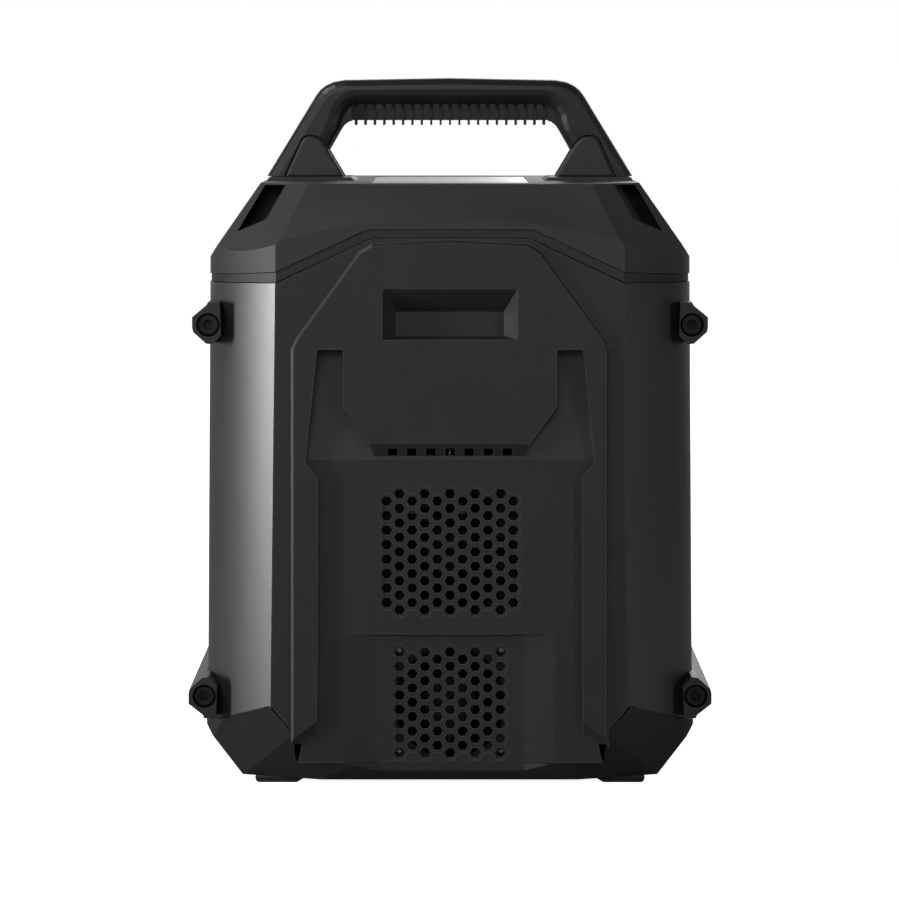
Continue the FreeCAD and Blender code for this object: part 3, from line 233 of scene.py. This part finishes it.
mouldings = {
    "capPlastic": {"dark": (0.028, 0.028, 0.029), "light": (0.034, 0.034, 0.035), "rough": 0.5,
                   "specular": 0.35, "grainScale": 1500, "grainDepth": 0.22},
    "trimPlastic": {"dark": (0.018, 0.018, 0.0185), "light": (0.0225, 0.0225, 0.023), "rough": 0.5,
                    "specular": 0.35, "grainScale": 1600, "grainDepth": 0.12},
    "shellGrain": {"dark": (0.026, 0.0265, 0.0275), "light": (0.033, 0.0335, 0.0345), "rough": 0.35,
                   "grainScale": 1250, "grainDepth": 0.24, "speckle": 0.4, "specular": 0.8, "driftScale": 9},
    # the panel's edgeTone and edgeLift paint a strong highlight along its edges
    "panelPlastic": {"dark": (0.0115, 0.0115, 0.012), "light": (0.0145, 0.0145, 0.015), "rough": 0.47,
                     "grainScale": 1100, "grainDepth": 0.3, "speckle": 0.3, "edgeTone": 0.4, "edgeLift": 8.0,
                     "edgeWidth": 0.0011},
    "basePlastic": {"dark": (0.0135, 0.0135, 0.014), "light": (0.0175, 0.0175, 0.018), "rough": 0.55,
                    "specular": 0.35, "grainScale": 1200, "grainDepth": 0.28},
    "railPlastic": {"dark": (0.0125, 0.0125, 0.013), "light": (0.0165, 0.0165, 0.017), "rough": 0.46,
                    "grainScale": 1600, "grainDepth": 0.18},
    "handlePlastic": {"dark": (0.0105, 0.0105, 0.011), "light": (0.0135, 0.0135, 0.014), "rough": 0.36,
                      "grainScale": 1700, "grainDepth": 0.16},
    # fan plastic: a black moulding, made darker than the other black mouldings as painted shade so the inside
    # of the grilles reads black
    "fanPlastic": {"dark": (0.0022, 0.0022, 0.0023), "light": (0.0034, 0.0034, 0.0035), "rough": 0.6,
                   "specular": 0.15, "grainScale": 1500, "grainDepth": 0.1},
    "holderPlastic": {"dark": (0.03, 0.03, 0.03), "light": (0.04, 0.04, 0.04), "rough": 0.5,
                      "grainScale": 1300, "grainDepth": 0.2},
    "buttonPlastic": {"dark": (0.05, 0.05, 0.052), "light": (0.062, 0.062, 0.064), "rough": 0.42,
                      "grainScale": 1900, "grainDepth": 0.1},
    "outletPlastic": {"dark": (0.03, 0.03, 0.031), "light": (0.038, 0.038, 0.039), "rough": 0.4,
                      "grainScale": 1700, "grainDepth": 0.1},
    "portPlastic": {"dark": (0.012, 0.012, 0.0125), "light": (0.016, 0.016, 0.0165), "rough": 0.38,
                    "grainScale": 1700, "grainDepth": 0.1},
    "transistorCase": {"dark": (0.014, 0.014, 0.014), "light": (0.02, 0.02, 0.02), "rough": 0.45,
                       "grainScale": 2000, "grainDepth": 0.2},
}
rubbers = {
    "gripRubber": {"dark": (0.0155, 0.0155, 0.016), "light": (0.022, 0.022, 0.0225),
                   "rough": 0.62, "grainScale": 1500},
    "footRubber": {"dark": (0.004, 0.004, 0.004), "light": (0.007, 0.0068, 0.0066),
                   "rough": 0.7, "grainScale": 1100},
    "coverRubber": {"dark": (0.02, 0.02, 0.0205), "light": (0.026, 0.026, 0.0265),
                    "rough": 0.6, "grainScale": 1400},
}
metals = {
    "blackScrew": {"dark": (0.014, 0.014, 0.015), "light": (0.026, 0.026, 0.027),
                   "rough": 0.4, "metallic": 0.7},
    "plainScrew": {"dark": (0.5, 0.5, 0.5), "light": (0.62, 0.62, 0.6), "rough": 0.32},
    "nickelStrip": {"dark": (0.58, 0.56, 0.5), "light": (0.68, 0.66, 0.6),
                    "rough": 0.3, "stretch": (0.06, 1, 1)},
    "shelfMetal": {"dark": (0.48, 0.49, 0.5), "light": (0.58, 0.59, 0.6),
                   "rough": 0.36, "stretch": (0.08, 1, 1)},
    "heatsinkMetal": {"dark": (0.56, 0.57, 0.58), "light": (0.68, 0.69, 0.7), "rough": 0.34},
    "coreFerrite": {"dark": (0.04, 0.04, 0.04), "light": (0.06, 0.06, 0.06), "rough": 0.5, "metallic": 0.4},
    "contactBrass": {"dark": (0.6, 0.42, 0.16), "light": (0.72, 0.54, 0.24), "rough": 0.28},
    "portSteel": {"dark": (0.5, 0.5, 0.5), "light": (0.6, 0.6, 0.6), "rough": 0.28},
    "socketMetal": {"dark": (0.46, 0.46, 0.47), "light": (0.58, 0.58, 0.58),
                    "rough": 0.3, "stretch": (1, 0.1, 1)},
}
glosses = {
    "padGloss": {"dark": (0.012, 0.012, 0.013), "light": (0.05, 0.05, 0.052),
                 "rough": 0.3, "coat": 0.3, "coatRough": 0.2, "peelScale": 60, "peel": 0.12},
    "displayGloss": {"dark": (0.004, 0.004, 0.005), "light": (0.008, 0.008, 0.009),
                     "rough": 0.08, "coat": 1.0, "coatRough": 0.03},
    "windingTape": {"dark": (0.42, 0.3, 0.03), "light": (0.58, 0.43, 0.06), "rough": 0.3},
    "capacitorSleeve": {"dark": (0.012, 0.014, 0.03), "light": (0.018, 0.02, 0.045), "rough": 0.25},
}
boards = {
    "circuitBoard": {"dark": (0.008, 0.07, 0.03), "mid": (0.01, 0.085, 0.035), "light": (0.03, 0.16, 0.06),
                     "trackScale": 60},
}
sleeves = {"cellSleeve": {"dark": (0.006, 0.014, 0.03), "light": (0.01, 0.022, 0.045), "rough": 0.34}}
glows = {
    "lightDiffuser": {"dark": (0.62, 0.62, 0.58), "light": (0.72, 0.72, 0.68),
                      "glow": (1.0, 0.95, 0.85), "strength": 0.25},
    "displayGlow": {"dark": (0.5, 0.62, 0.66), "light": (0.6, 0.74, 0.78),
                    "glow": (0.55, 0.85, 1.0), "strength": 1.1},
    "buttonGlow": {"dark": (0.3, 0.5, 0.34), "light": (0.4, 0.62, 0.44),
                   "glow": (0.3, 1.0, 0.45), "strength": 0.6},
}

finishes = {}
makers = ((mouldedFinish, mouldings), (rubberFinish, rubbers), (metalFinish, metals), (glossFinish, glosses),
          (boardFinish, boards), (sleeveFinish, sleeves), (glowFinish, glows))
for maker, group in makers:
    for name, look in group.items():
        finishes[name] = maker(name, look)
print("finishes made:", len(finishes))


slotFinish = {
    "cap_plastic": "capPlastic", "trim_plastic": "trimPlastic", "shell_grain": "shellGrain",
    "panel_plastic": "panelPlastic", "front_plastic": "panelPlastic", "base_plastic": "basePlastic",
    "foot_rubber": "footRubber", "rail_plastic": "railPlastic", "black_screw": "blackScrew",
    "plain_screw": "plainScrew", "handle_plastic": "handlePlastic", "grip_rubber": "gripRubber",
    "pad_gloss": "padGloss", "fan_plastic": "fanPlastic", "cell_sleeve": "cellSleeve",
    "holder_plastic": "holderPlastic", "nickel_strip": "nickelStrip", "circuit_board": "circuitBoard",
    "shelf_metal": "shelfMetal", "heatsink_metal": "heatsinkMetal", "core_ferrite": "coreFerrite",
    "winding_tape": "windingTape", "capacitor_sleeve": "capacitorSleeve", "transistor_case": "transistorCase",
    "display_gloss": "displayGloss", "button_plastic": "buttonPlastic", "outlet_plastic": "outletPlastic",
    "contact_brass": "contactBrass", "port_steel": "portSteel", "port_plastic": "portPlastic",
    "socket_metal": "socketMetal", "cover_rubber": "coverRubber", "light_diffuser": "lightDiffuser",
}
for part in frame["record"]["subparts"]:
    piece = nodes[part["node"]]
    finish = finishes[slotFinish[part["material_slot"]]]
    if piece.data.materials:
        for index in range(len(piece.material_slots)):
            piece.material_slots[index].material = finish
    else:
        piece.data.materials.append(finish)
print("finishes on the pieces")

# rounded edges: node name, radius in metres
edgeRounds = {
    "top_cap": 0.0016, "trim_ring": 0.0004, "left_side_shell": 0.0005, "right_side_shell": 0.0005,
    "rear_panel": 0.0009, "front_panel": 0.0006, "base_tray": 0.0016, "rubber_feet": 0.0006,
    "upper_side_rails": 0.0008, "lower_side_rails": 0.0008, "rail_screws": 0.0003, "handle_bar": 0.0012,
    "handle_grip": 0.0005, "top_pad": 0.0003, "car_socket_cover": 0.0007, "ac_inlet_cover": 0.0007,
    "ac_outlets": 0.0004, "display_lens": 0.0003, "heatsinks": 0.0003,
    "upper_fan_rotor": 0.0002, "lower_fan_rotor": 0.0002,
}
roundSteps = 3
sharpAngle = math.radians(24)
for name, radius in edgeRounds.items():
    rounding = nodes[name].modifiers.new("roundedEdges", "BEVEL")
    rounding.width = radius
    rounding.segments = roundSteps
    rounding.limit_method = "ANGLE"
    rounding.angle_limit = sharpAngle
    rounding.use_clamp_overlap = True
    rounding.harden_normals = True
print("edges rounded:", len(edgeRounds))


# what the display shows: two large digits, a charge bar and two small readings, drawn as raised strokes
displayMarks = {
    "lift": 0.00025, "sink": 0.00005, "bigStroke": 0.00182, "smallStroke": 0.00091,
    "big": "75", "bigDigit": (0.0095, 0.0185), "bigLeft": -0.0435, "bigRise": 0.001, "bigPitch": 1.55,
    "readings": ("0000", "1200"), "smallDigit": (0.0042, 0.0078), "smallLeft": 0.0165, "smallRise": 0.0025,
    "smallDrop": 0.0145, "smallPitch": 1.6,
    "barCells": 8, "litCells": 6, "barCell": (0.0042, 0.0052), "barGap": 0.0012, "barRise": 0.0038,
    "frameRoom": 0.001, "frameLine": 0.0004, "frameLift": 0.8,
}
# strokes of each digit, and where a stroke starts and ends in a digit one wide and one tall
digitStrokes = {"0": "abcdef", "1": "bc", "2": "abged", "5": "afgcd", "7": "abc"}
strokeEnds = {
    "a": (0, 1, 1, 1), "b": (1, 1, 1, 0.5), "c": (1, 0.5, 1, 0), "d": (0, 0, 1, 0), "e": (0, 0, 0, 0.5),
    "f": (0, 0.5, 0, 1), "g": (0, 0.5, 1, 0.5),
}
strokeRoom = 1.2  # a stroke stops this many half widths short of a corner


def addBar(shape, face, low, high, thick):
    # a flat block on the working face; across runs to the reader's right, which is -X
    corners = []
    for depth, shrink in ((0, 0), (thick, thick * 0.6)):
        for across, up in ((low[0], low[1]), (high[0], low[1]), (high[0], high[1]), (low[0], high[1])):
            across += shrink if across == low[0] else -shrink
            up += shrink if up == low[1] else -shrink
            corners.append(shape.verts.new((-across, face + depth, up)))
    for ring in ((4, 5, 6, 7), (0, 1, 5, 4), (1, 2, 6, 5), (2, 3, 7, 6), (3, 0, 4, 7), (3, 2, 1, 0)):
        shape.faces.new([corners[index] for index in ring])


def addDigit(shape, face, corner, size, stroke, thick, digit):
    half = stroke / 2
    for name in digitStrokes[digit]:
        x0, z0, x1, z1 = strokeEnds[name]
        flat = z0 == z1
        ends = sorted([(corner[0] + x0 * size[0], corner[1] + z0 * size[1]),
                       (corner[0] + x1 * size[0], corner[1] + z1 * size[1])])
        low = (ends[0][0], min(ends[0][1], ends[1][1]))
        high = (ends[1][0], max(ends[0][1], ends[1][1]))
        gapAcross, gapUp = (half * strokeRoom, -half) if flat else (-half, half * strokeRoom)
        first = (low[0] + gapAcross, low[1] + gapUp)
        last = (high[0] - gapAcross, high[1] - gapUp)
        addBar(shape, face, first, last, thick)


def pieceFrom(name, shape, finish):
    mesh = bpy.data.meshes.new(name)
    bmesh.ops.recalc_face_normals(shape, faces=shape.faces)
    shape.to_mesh(mesh)
    shape.free()
    piece = bpy.data.objects.new(name, mesh)
    bpy.context.scene.collection.objects.link(piece)
    mesh.materials.append(finishes[finish])
    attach(piece, "housing")


def makeDisplayMarks(look):
    low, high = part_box("display_lens")
    face = high[1] - look["sink"]
    middle = (low[2] + high[2]) / 2
    shape = bmesh.new()
    wide, tall = look["bigDigit"]
    for index, digit in enumerate(look["big"]):
        corner = (look["bigLeft"] + index * wide * look["bigPitch"], middle - tall / 2 + look["bigRise"])
        addDigit(shape, face, corner, look["bigDigit"], look["bigStroke"], look["lift"], digit)
    step = look["smallDigit"][0] * look["smallPitch"]
    for row, reading in enumerate(look["readings"]):
        for index, digit in enumerate(reading):
            corner = (look["smallLeft"] + index * step, middle + look["smallRise"] - row * look["smallDrop"])
            addDigit(shape, face, corner, look["smallDigit"], look["smallStroke"], look["lift"], digit)
    # the charge bar: lit cells in a thin frame
    cellWide, cellTall = look["barCell"]
    pitch = cellWide + look["barGap"]
    cellLow = low[2] + look["barRise"]
    for index in range(look["litCells"]):
        across = look["bigLeft"] + index * pitch
        addBar(shape, face, (across, cellLow), (across + cellWide, cellLow + cellTall), look["lift"])
    room, line = look["frameRoom"], look["frameLine"]
    near = look["bigLeft"] - room
    far = look["bigLeft"] + room + look["barCells"] * pitch
    base, top = cellLow - room, cellLow + cellTall + room
    for first, last in (((near, base), (far, base + line)), ((near, top - line), (far, top)),
                        ((near, base), (near + line, top)), ((far - line, base), (far, top))):
        addBar(shape, face, first, last, look["lift"] * look["frameLift"])
    pieceFrom("displayMarks", shape, "displayGlow")


# a small domed lens over each button; the profile is share of the radius, then height over the plate
buttonLights = {
    "buttons": ("power_button", "ac_button", "dc_button", "light_button"), "radius": 0.0011, "above": 0.0125,
    "plateLift": 0.0004, "sides": 16,
    "profile": ((1.0, -0.0004), (1.0, 0.0001), (0.82, 0.0004), (0.45, 0.00058)),
}


def makeButtonLights(look):
    shape = bmesh.new()
    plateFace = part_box("display_lens")[1][1] + look["plateLift"]
    sides = look["sides"]
    turns = [step * 2 * math.pi / sides for step in range(sides)]
    for name in look["buttons"]:
        low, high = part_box(name)
        x, z = (low[0] + high[0]) / 2, (low[2] + high[2]) / 2 + look["above"]
        rings = []
        for share, rise in look["profile"]:
            reach = look["radius"] * share
            rings.append([shape.verts.new((x + reach * math.cos(turn), plateFace + rise,
                                           z + reach * math.sin(turn))) for turn in turns])
        for inner, outer in zip(rings[1:], rings):
            for index in range(sides):
                after = (index + 1) % sides
                shape.faces.new((outer[index], outer[after], inner[after], inner[index]))
        shape.faces.new(rings[-1])
        shape.faces.new(rings[0][::-1])
    pieceFrom("buttonLights", shape, "buttonGlow")


# dark strip behind the seam under the cap, on the back and the front wall: painted shade, a dark sheet that
# stands in for the shade inside the seam so the hollow body does not show the backdrop through it
seamShadeStrip = {"shoulder": 0.05, "corner": 0.1, "fall": 0.0242, "tall": 0.009, "thick": 0.0016, "behind": 0.0068}


def makeSeamShadeStrip(look):
    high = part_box("trim_ring")[1]
    top = high[2]
    path = ((-look["corner"], top - look["fall"]), (-look["shoulder"], top), (look["shoulder"], top),
            (look["corner"], top - look["fall"]))
    shape = bmesh.new()
    for side in (-1, 1):
        wallFace = high[1] - look["behind"]
        depths = (side * wallFace, side * (wallFace - look["thick"]))
        half = look["tall"] / 2
        rings = []
        for x, z in path:
            low, up = z - half, z + half
            corners = ((depths[0], low), (depths[0], up), (depths[1], up), (depths[1], low))
            rings.append([shape.verts.new((x, y, level)) for y, level in corners])
        for first, second in zip(rings, rings[1:]):
            for index in range(4):
                after = (index + 1) % 4
                shape.faces.new((first[index], first[after], second[after], second[index]))
        shape.faces.new(rings[0])
        shape.faces.new(rings[-1][::-1])
    pieceFrom("seamShadeStrip", shape, "coverRubber")


makeSeamShadeStrip(seamShadeStrip)
makeDisplayMarks(displayMarks)
makeButtonLights(buttonLights)
print("working face dressed")

studio = {"floorSize": 14.0, "floorTone": (0.93, 0.93, 0.93), "floorGlow": 0.93, "floorBounce": 0.3}


def makeFloor():
    mesh = bpy.data.meshes.new("studioFloor")
    half = studio["floorSize"] / 2
    shape = bmesh.new()
    corners = [shape.verts.new((x * half, y * half, 0)) for x, y in ((-1, -1), (1, -1), (1, 1), (-1, 1))]
    shape.faces.new(corners)
    shape.to_mesh(mesh)
    shape.free()
    floor = bpy.data.objects.new("studioFloor", mesh)
    bpy.context.scene.collection.objects.link(floor)
    material, tree, shader = newMaterial("floorPaper")
    shader.inputs["Base Color"].default_value = (*studio["floorTone"], 1)
    shader.inputs["Roughness"].default_value = 0.9
    shader.inputs["Emission Color"].default_value = (1, 1, 1, 1)
    shader.inputs["Emission Strength"].default_value = studio["floorGlow"]
    # the paper glows for the eye, and throws little light back on the machine
    dim = tree.nodes.new("ShaderNodeBsdfDiffuse")
    dim.inputs["Color"].default_value = (studio["floorBounce"],) * 3 + (1,)
    path = tree.nodes.new("ShaderNodeLightPath")
    mix = tree.nodes.new("ShaderNodeMixShader")
    tree.links.new(path.outputs["Is Camera Ray"], mix.inputs["Fac"])
    tree.links.new(dim.outputs["BSDF"], mix.inputs[1])
    tree.links.new(shader.outputs["BSDF"], mix.inputs[2])
    tree.links.new(mix.outputs["Shader"], tree.nodes["Material Output"].inputs["Surface"])
    mesh.materials.append(material)


# each lamp: where it stands, what it looks at, its width and height, and its power
lamps = {
    "leftBox": {"at": (-2.25, -0.8, 0.34), "to": (0, 0, 0.18), "size": (0.24, 0.8), "power": 41},
    "rightBox": {"at": (1.9, -1.9, 0.7), "to": (0, 0, 0.22), "size": (0.5, 1.0), "power": 17},
    "topBox": {"at": (-1.3, -0.7, 2.1), "to": (0, 0, 0.35), "size": (0.9, 0.9), "power": 17},
    "frontFill": {"at": (-0.7, -3.2, 1.3), "to": (0, 0, 0.2), "size": (1.8, 1.6), "power": 19},
    "workingFaceFill": {"at": (0.9, 3.1, 1.2), "to": (0, 0, 0.2), "size": (1.8, 1.6), "power": 18},
}


def makeLamp(name, look):
    data = bpy.data.lights.new(name, "AREA")
    data.shape = "RECTANGLE"
    data.size, data.size_y = look["size"]
    data.energy = look["power"]
    lamp = bpy.data.objects.new(name, data)
    lamp.location = look["at"]
    lamp.rotation_euler = (Vector(look["to"]) - Vector(look["at"])).to_track_quat("-Z", "Y").to_euler()
    bpy.context.scene.collection.objects.link(lamp)


sky = {"front": 0.02, "side": 0.04, "back": 0.85, "seen": 1.0}


def makeSky():
    # a white room that is bright behind the machine and dim on the camera's side
    world = bpy.data.worlds.new("studioRoom")
    world.use_nodes = True
    tree = world.node_tree
    tree.nodes.clear()
    place = tree.nodes.new("ShaderNodeTexCoord")
    split = tree.nodes.new("ShaderNodeSeparateXYZ")
    ramp = tree.nodes.new("ShaderNodeValToRGB")
    ramp.color_ramp.elements[0].position = 0.25
    ramp.color_ramp.elements[0].color = (sky["front"],) * 3 + (1,)
    ramp.color_ramp.elements[1].position = 0.95
    ramp.color_ramp.elements[1].color = (sky["back"],) * 3 + (1,)
    middle = ramp.color_ramp.elements.new(0.72)
    middle.color = (sky["side"],) * 3 + (1,)
    half = tree.nodes.new("ShaderNodeMath")
    half.operation = "MULTIPLY_ADD"
    half.inputs[1].default_value = 0.5
    half.inputs[2].default_value = 0.5
    path = tree.nodes.new("ShaderNodeLightPath")
    lit = tree.nodes.new("ShaderNodeBackground")
    seen = tree.nodes.new("ShaderNodeBackground")
    seen.inputs["Strength"].default_value = sky["seen"]
    seen.inputs["Color"].default_value = (1, 1, 1, 1)
    mix = tree.nodes.new("ShaderNodeMixShader")
    output = tree.nodes.new("ShaderNodeOutputWorld")
    tree.links.new(place.outputs["Generated"], split.inputs[0])
    tree.links.new(split.outputs["Y"], half.inputs[0])
    tree.links.new(half.outputs["Value"], ramp.inputs["Fac"])
    tree.links.new(ramp.outputs["Color"], lit.inputs["Color"])
    tree.links.new(path.outputs["Is Camera Ray"], mix.inputs["Fac"])
    tree.links.new(lit.outputs["Background"], mix.inputs[1])
    tree.links.new(seen.outputs["Background"], mix.inputs[2])
    tree.links.new(mix.outputs["Shader"], output.inputs["Surface"])
    bpy.context.scene.world = world


makeFloor()
for name, look in lamps.items():
    makeLamp(name, look)
makeSky()
bpy.context.scene.view_settings.view_transform = "Standard"
print("studio built")


view = {"distance": 2.335, "height": 0.41986, "tilt": 5.5145, "lens": 147.35}
cameraData = bpy.data.cameras.new("viewCamera")
cameraData.lens = view["lens"]
cameraData.sensor_width = 36
camera = bpy.data.objects.new("viewCamera", cameraData)
camera.location = (0, -view["distance"], view["height"])
camera.rotation_euler = (math.radians(90 - view["tilt"]), 0, 0)
bpy.context.scene.collection.objects.link(camera)
bpy.context.scene.camera = camera
